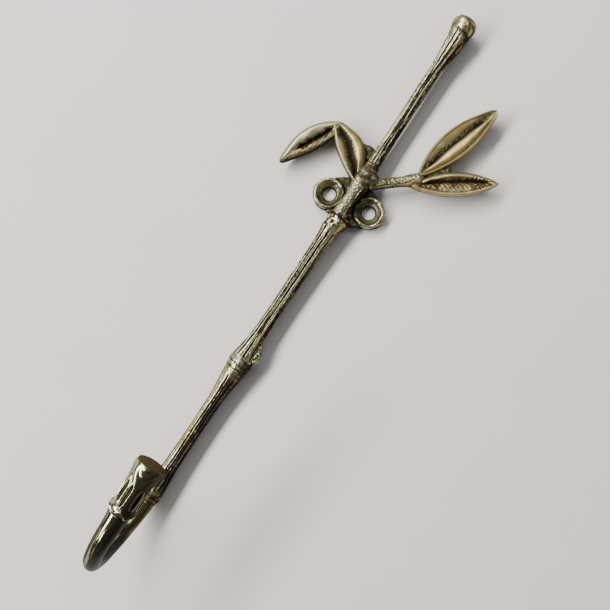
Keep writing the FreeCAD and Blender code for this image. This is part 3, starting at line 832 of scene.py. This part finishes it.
class LeafSkin:
    """A leaf's skin laid out flat, with what its height and its finish both follow.

    t runs from 0 at the base to 1 at the tip, and u from -1 at the right edge to 1 at the left one, over the
    face and then back underneath. half is the half width, aside the distance to the left of the slit, and
    left grows from 0 to 1 across the middle. Distances are in millimetres.
    """

    def __init__(self, leaf, length, stations=300, face_count=85, back_count=15):
        self.leaf = leaf
        self.t = 0.5 - 0.5 * np.cos(np.linspace(0.02, math.pi - 0.02, stations))[:, None]
        over = np.sin(np.linspace(-math.pi / 2, math.pi / 2, face_count))
        under = np.linspace(1, -1, back_count + 2)[1:-1]
        self.u = np.concatenate([over, under])[None, :]
        self.is_face = (np.arange(self.u.shape[1]) < face_count)[None, :]
        roundness = LEAF_ROUNDNESS - leaf["blunt"] * smooth(self.t, 0.8, 1.0)
        self.half = leaf["width"] / 2 * np.sin(math.pi * self.t ** leaf["fullness"]) ** roundness
        self.flat = np.stack([self.t * length + 0 * self.u, self.u * self.half, 0 * self.t * self.u], -1)
        self.from_edge = (1 - np.abs(self.u)) * self.half
        self.left = smooth(self.u, -0.35, 0.35)
        self.rim = blended(leaf["rims"], self.left)
        self.beaded = smooth(leaf["bead"], 0.0, 0.1)
        self.ends = smooth(self.t, 0.02, 0.16) * smooth(self.t, 0.985, 0.86)
        self.tear()

    def tear(self):
        """The ragged slit along the leaf, and the band of short strokes beside it."""
        leaf = self.leaf
        place, half_widths, self.slit_depth, first, last = leaf["slit"]
        self.line = place + leaf["wander"] * Waves(leaf["seed"] + 1, 7.0)(self.flat * [1, 0, 0])
        self.aside = (self.u - self.line) * self.half
        slanted = self.flat - np.abs(self.aside)[..., None] * [0.8, 0, 0]
        self.fringe = Waves(leaf["seed"], 1.1)(slanted * [2.4, 0.5, 0])
        torn = smooth(self.t, first, first + 0.08) * smooth(self.t, last, last - 0.12)
        slit_half = self.by_side(half_widths) * (0.25 + 0.75 * torn)
        ragged = np.clip(1 + 0.3 * self.fringe, 0.4, 1.6)
        self.slit = torn * np.exp(-np.abs(self.aside / (slit_half * ragged)) ** 2.5)
        offset, band, self.stroke_strength = leaf["hatch"]
        self.strokes = bell(self.aside, offset, band) * self.ends

    def by_side(self, pair):
        """The pair's first value on the left of the slit, and its second on the right."""
        return np.where(self.aside > 0, *pair)

    def height(self, thick):
        """How far each point stands out from the leaf's back, on a leaf that arches a little lengthwise."""
        leaf, from_edge, rim = self.leaf, self.from_edge, self.rim
        rounding = np.sqrt(1 - (1 - np.clip(from_edge / rim, 0, 1)) ** 2)
        room = np.maximum(self.half * (1 - np.sign(self.aside) * self.line) - rim, 0.3)
        inward = np.clip(1 - np.abs(self.aside) / room, 0, 1) ** self.by_side(leaf["fall"])
        bead = leaf["bead"] * smooth(from_edge, rim + 0.5, rim - 0.1)
        roll_end = rim + 0.4
        roll_start = np.maximum(ROLL_START, rim + 0.5)
        roll = blended(leaf["roll"], self.left) * smooth(from_edge, roll_start, roll_end)
        height = thick * (WALL_SHARE + (1 - WALL_SHARE) * rounding) + bead - leaf["bead"]
        height = height - self.ends * (leaf["dish"] * inward + roll)
        height = height - self.slit_depth * self.slit + 0.05 * self.fringe * self.strokes
        height = height + self.ends * roll * smooth(from_edge, roll_end, rim)
        height = height + 0.035 * Waves(leaf["seed"] + 2, 3.6)(self.flat) * rounding
        hollow_back = 0.22 * (1 - self.u ** 2)
        arch = 0.5 * np.sin(math.pi * self.t) - 0.25
        return np.where(self.is_face, height, hollow_back) + arch

    def patina_and_shade(self):
        """Dark in the slit and the strokes, painted shade on the side wall, the back and towards the edge,
        and clean on the rim's crest.
        """
        leaf, from_edge, rim, beaded = self.leaf, self.from_edge, self.rim, self.beaded
        stippled = 0.7 + 0.5 * self.fringe + 0.4 * Waves(leaf["seed"] + 6, 0.7)(self.flat)
        # painted shade: the side wall and the back are dark
        side_wall_shade = np.where(self.is_face, smooth(from_edge, 0.25 - 0.1 * beaded, 0.02), 1.0)
        patina_and_shade = 0.95 * smooth(self.slit, 0.25, 0.75)
        patina_and_shade = patina_and_shade + self.stroke_strength * np.clip(stippled, 0, 1.5) * self.strokes + 0.62 * side_wall_shade
        crest = bell(from_edge, 0.7 * rim, 0.5 * rim)
        inside_rim = bell(from_edge, rim + 0.6, 0.3) * beaded
        clean_rim = smooth(from_edge, rim + 0.5, rim + 0.2) * beaded
        towards_edge = smooth(from_edge, leaf["reach"], 0.3)
        shade = towards_edge * blended(leaf["edge"], self.left) * (1 - 0.9 * crest)
        dull = self.by_side(leaf["dull"]) * (1 - crest) + shade * self.is_face
        return patina_and_shade + dull * (1 - clean_rim) - 0.05 * crest - 0.1 * clean_rim + 0.12 * inside_rim

    def gold_and_reflection(self):
        """Gold that differs from side to side, and is paler in a band beside the slit and on a bead: a paler
        tone that is partly a painted highlight.
        """
        leaf = self.leaf
        gold = blended(leaf["gold"], smooth(self.aside, -0.5, 0.5))
        # partly painted highlight: a paler band beside the slit and a pale line on the bead
        silver_sheen = 0.8 * bell(self.aside, leaf["silver_sheen"], 0.7)
        silver_sheen = silver_sheen + 0.15 * bell(self.from_edge, 0.4, 0.3) * self.beaded
        return gold + 0.15 * Waves(leaf["seed"] + 4, 5.0)(self.flat) - silver_sheen


def leaf_piece(name, leaf):
    """A plump leaf: a rounded rim, faces that fall to the midrib, and a torn dark slit along it."""
    low, high = span(name)
    back, thick = -high[1], high[1] - low[1]
    base, tip = np.array(leaf["base"]), np.array(leaf["tip"])
    along = tip - base
    length = np.linalg.norm(along)
    across = np.array([-along[1], along[0]]) / length
    skin = LeafSkin(leaf, length)
    sideways = leaf["bow"] * np.sin(math.pi * skin.t) + skin.u * skin.half
    place = base + along * skin.t[..., None] + across * sideways[..., None]
    loops = np.stack([place[..., 0], -back - skin.height(thick), place[..., 1]], -1)
    verts, faces = closed_sweep(loops)
    patina_and_shade, gold_and_reflection = with_ends(skin.patina_and_shade()), with_ends(skin.gold_and_reflection())
    add_piece(name + "_skin", verts, faces, patina_and_shade, gold_and_reflection, LEAF, [name])


# Where the twig leaves the boss and where it meets its leaves, as (x, z) on the wall.
TWIG_FOOT = (2.4, 8.1)
TWIG_HEAD = (15.8, 19.1)
TWIG_RADIUS = 1.65
TWIG_ROUNDED_END = 2.4
# Angle, far end, near end, depth and width.
TWIG_GROOVES = [(-40, 14, -1, 0.14, 0.18), (30, 14, -1, 0.18, 0.22), (85, 14, -1, 0.25, 0.3)]


def right_twig():
    """The short grooved twig of the right pair of leaves, thicker at both ends and rounded at its head."""
    height = middle("right_twig")[1]
    foot = np.array([TWIG_FOOT[0], height, TWIG_FOOT[1]])
    head = np.array([TWIG_HEAD[0], height, TWIG_HEAD[1]])
    length = np.linalg.norm(head - foot)
    way = (head - foot) / length
    side = np.cross(way, FRONT)
    around, rings = 96, 72
    angle = np.linspace(0, 2 * math.pi, around, endpoint=False)
    angle, run = np.meshgrid(angle, np.linspace(0, length, rings))
    base = TWIG_RADIUS + 0.55 * smooth(run, 0.5 * length, 0.9 * length) + 0.3 * smooth(run, 2.0, 0.0)
    past = np.clip((run - length + TWIG_ROUNDED_END) / TWIG_ROUNDED_END, 0, 1)
    base = base * np.sqrt(1 - 0.98 * past ** 2)
    relief = cane_relief(angle, run, base, TWIG_GROOVES, seed=241, streak=0.05, line=0.10, grain=0.045)
    centres = foot + way * run[:, :1]
    outs, sides = np.repeat(FRONT[None], rings, 0), np.repeat(side[None], rings, 0)
    verts, faces = closed_sweep(ring_loops(centres, outs, sides, base + relief))
    patina_and_shade = cane_patina_and_shade(relief, angle, 0.0, 0.3) + 0.22
    gold_and_reflection = gold_and_reflection_of(angle, run, base, 251)
    add_piece("right_twig_skin", verts, faces, with_ends(patina_and_shade), with_ends(gold_and_reflection), ROUGH,
              ["right_twig"])


def build_leaves():
    for name, leaf in LEAVES.items():
        leaf_piece(name, leaf)
    right_twig()


# ---- stage, light and camera ----
def pale_stage():
    """A plain pale floor under the hook. From behind, the camera sees through it to the hook's back."""
    size = 3.0
    gap = 0.0004
    mesh = bpy.data.meshes.new("stage")
    corners = [(-size, gap, -size), (size, gap, -size), (size, gap, size), (-size, gap, size)]
    mesh.from_pydata(corners, [], [(0, 1, 2, 3)])
    floor = bpy.data.objects.new("stage", mesh)
    bpy.context.scene.collection.objects.link(floor)
    g = Graph("pale_floor")
    pale = g.mixed(g.noise(40.0, 2.0), (0.74, 0.71, 0.70), (0.78, 0.75, 0.74))
    g.join(pale, g.shader.inputs["Base Color"])
    g.shader.inputs["Roughness"].default_value = 0.85
    clear = g.add("ShaderNodeBsdfTransparent")
    either = g.add("ShaderNodeMixShader")
    g.join(g.add("ShaderNodeNewGeometry").outputs["Backfacing"], either.inputs[0])
    g.join(g.shader.outputs[0], either.inputs[1])
    g.join(clear.outputs[0], either.inputs[2])
    g.join(either.outputs[0], g.output.inputs["Surface"])
    mesh.materials.append(g.material)


def soft_box(name, at, aim, width, height, power, colour=(1, 1, 1)):
    """A rectangular light at a place in metres, turned to what it aims at."""
    light = bpy.data.lights.new(name, "AREA")
    light.shape = "RECTANGLE"
    light.size, light.size_y = width, height
    light.energy = power
    light.color = colour
    box = bpy.data.objects.new(name, light)
    box.location = at
    box.rotation_euler = (Vector(aim) - Vector(at)).to_track_quat("-Z", "Y").to_euler()
    bpy.context.scene.collection.objects.link(box)


# How bright the room is as light on the hook, and how bright where the camera sees it directly.
ROOM_ON_HOOK = 0.055
ROOM_SEEN = 1.0


def lights():
    """A tall window on the left, two weak fills and a dim room, which is pale where the camera sees it."""
    low, high = cad_bounds
    centre = (low + high) / 2
    soft_box("window", centre + Vector((-0.64, -0.68, -0.12)), centre, width=0.20, height=1.80, power=29.0,
             colour=(1.0, 0.985, 0.95))
    soft_box("overhead", centre + Vector((-0.10, -0.80, 0.62)), centre, width=0.80, height=0.40, power=2.5)
    soft_box("side_fill", centre + Vector((0.60, -0.70, 0.10)), centre, width=0.70, height=0.70, power=0.7)
    world = bpy.data.worlds.new("room")
    world.use_nodes = True
    nodes, links = world.node_tree.nodes, world.node_tree.links
    sky = nodes["Background"]
    sky.inputs["Color"].default_value = (0.86, 0.85, 0.84, 1)
    strength = nodes.new("ShaderNodeMapRange")
    strength.inputs["To Min"].default_value = ROOM_ON_HOOK
    strength.inputs["To Max"].default_value = ROOM_SEEN
    links.new(nodes.new("ShaderNodeLightPath").outputs["Is Camera Ray"], strength.inputs["Value"])
    links.new(strength.outputs["Result"], sky.inputs["Strength"])
    bpy.context.scene.world = world


# The camera's place in millimetres, and its turn to the left, its roll and its angle of view in degrees.
CAMERA_PLACE = (21.8, -209.3, -34.6)
CAMERA_YAW = 4.15
CAMERA_ROLL = 34.33
CAMERA_VIEW = 50


def camera():
    """Looks almost square at the wall from a little right of the hook's middle, and is rolled."""
    place = Vector(CAMERA_PLACE) * MM
    yaw, roll = math.radians(CAMERA_YAW), math.radians(CAMERA_ROLL)
    ahead = Vector((-math.sin(yaw), math.cos(yaw), 0))
    level = Vector((math.cos(yaw), math.sin(yaw), 0))
    right = level * math.cos(roll) + Vector((0, 0, 1)) * math.sin(roll)
    top = right.cross(ahead)
    turn = Matrix((right, top, -ahead)).transposed().to_4x4()
    data = bpy.data.cameras.new("camera")
    data.sensor_width = 36.0
    data.angle = math.radians(CAMERA_VIEW)
    data.clip_start, data.clip_end = 0.01, 20.0
    eye = bpy.data.objects.new("camera", data)
    eye.matrix_world = Matrix.Translation(place) @ turn
    bpy.context.scene.collection.objects.link(eye)
    bpy.context.scene.camera = eye


build_canes()
build_boss()
build_hook()
build_leaves()
pale_stage()
lights()
camera()

bpy.context.view_layer.update()
